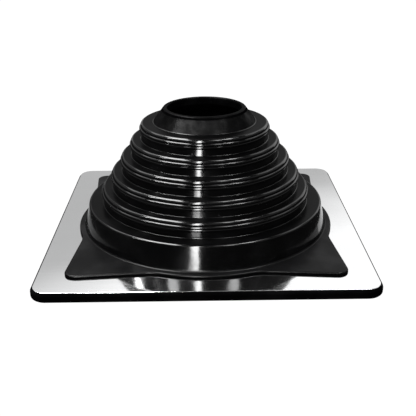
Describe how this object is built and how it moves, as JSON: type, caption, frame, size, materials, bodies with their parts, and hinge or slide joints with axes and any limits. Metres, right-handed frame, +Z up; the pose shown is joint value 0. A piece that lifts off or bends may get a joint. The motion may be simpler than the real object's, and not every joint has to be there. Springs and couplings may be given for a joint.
{
  "type": "roof pipe flashing",
  "caption": "Stepped black rubber boot with an open conical collar, ringed cone and wide drum, moulded through a square polished metal flange; seals a pipe where it passes through a roof.",
  "frame": {"origin": "centre of the ribbed underside of the rubber pad", "axes": "+Z up along the boot's axis, out of the mouth; +X and +Y square to the flange plate's sides"},
  "size_m": [0.28, 0.28, 0.119],
  "materials": {
    "rubber": "smooth glossy black moulded rubber",
    "aluminium": "bright rolled aluminium sheet, near mirror"
  },
  "bodies": {
    "root": {"rubber_boot": "rubber", "flange_plate": "aluminium"}
  },
  "joints": []
}
